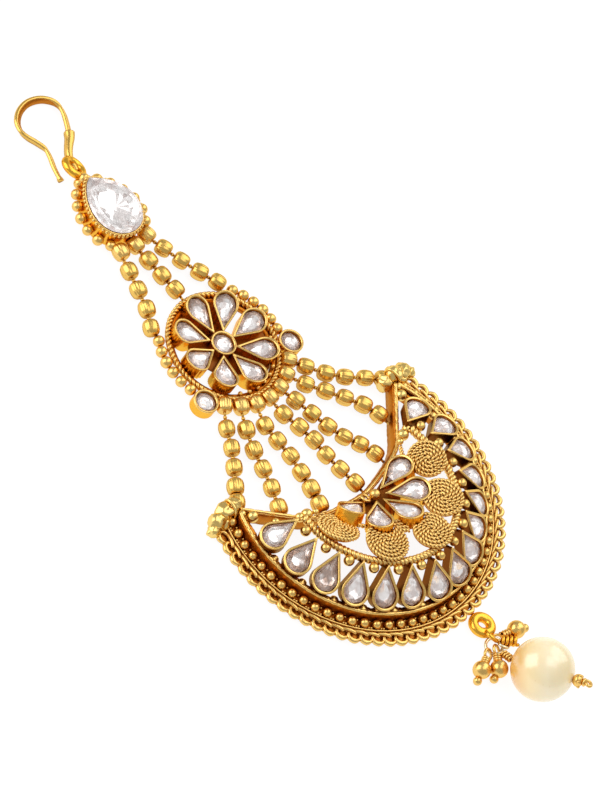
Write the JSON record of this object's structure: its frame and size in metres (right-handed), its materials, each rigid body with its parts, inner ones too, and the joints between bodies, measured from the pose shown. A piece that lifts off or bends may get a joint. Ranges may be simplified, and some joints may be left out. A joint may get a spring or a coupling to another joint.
{
  "type": "head jewel",
  "caption": "Gold jhoomar: a hook, a stone crest, a round flower medallion and a stone-set crescent joined by bead chains, with a pearl drop at its foot",
  "frame": {"origin": "middle of the bottom of the bounding box, where the jewel lies on the ground", "axes": "+Y along the jewel from the pearl to the hook, +X across it to the right as seen from its front, +Z out of its front"},
  "size_m": [0.0578, 0.1408, 0.011],
  "materials": {
    "gold": "polished gold with darker orange recesses",
    "stone": "cut clear glass with foil behind, greyish white",
    "nacre": "cream pearl"
  },
  "bodies": {
    "root": {"crescent": "gold", "crescent_stone_1": "stone", "crescent_stone_2": "stone", "crescent_stone_3": "stone", "crescent_stone_4": "stone", "crescent_stone_5": "stone", "crescent_stone_6": "stone", "crescent_stone_7": "stone", "crescent_stone_8": "stone", "crescent_stone_9": "stone", "crescent_stone_10": "stone", "crescent_stone_11": "stone", "crescent_stone_12": "stone", "crescent_stone_13": "stone", "crescent_stone_14": "stone", "crescent_stone_15": "stone", "half_flower_stone_1": "stone", "half_flower_stone_2": "stone", "half_flower_stone_3": "stone", "half_flower_stone_4": "stone", "half_flower_stone_5": "stone", "medallion": "gold", "medallion_stone_1": "stone", "medallion_stone_2": "stone", "medallion_stone_3": "stone", "medallion_stone_4": "stone", "medallion_stone_5": "stone", "medallion_stone_6": "stone", "medallion_stone_7": "stone", "medallion_stone_8": "stone", "medallion_centre_stone": "stone", "side_stone_right": "stone", "side_stone_left": "stone", "crest_setting": "gold", "crest_stone": "stone", "hook": "gold", "hook_ring": "gold", "upper_chain_1": "gold", "upper_chain_2": "gold", "upper_chain_3": "gold", "lower_chain_1": "gold", "lower_chain_2": "gold", "lower_chain_3": "gold", "lower_chain_4": "gold", "lower_chain_5": "gold", "lower_chain_6": "gold", "lower_chain_7": "gold", "drop_ring": "gold", "link_ring": "gold", "cluster_ball_1": "gold", "cluster_ball_2": "gold", "cluster_ball_3": "gold", "pearl": "nacre", "pearl_pin": "gold"}
  },
  "joints": []
}
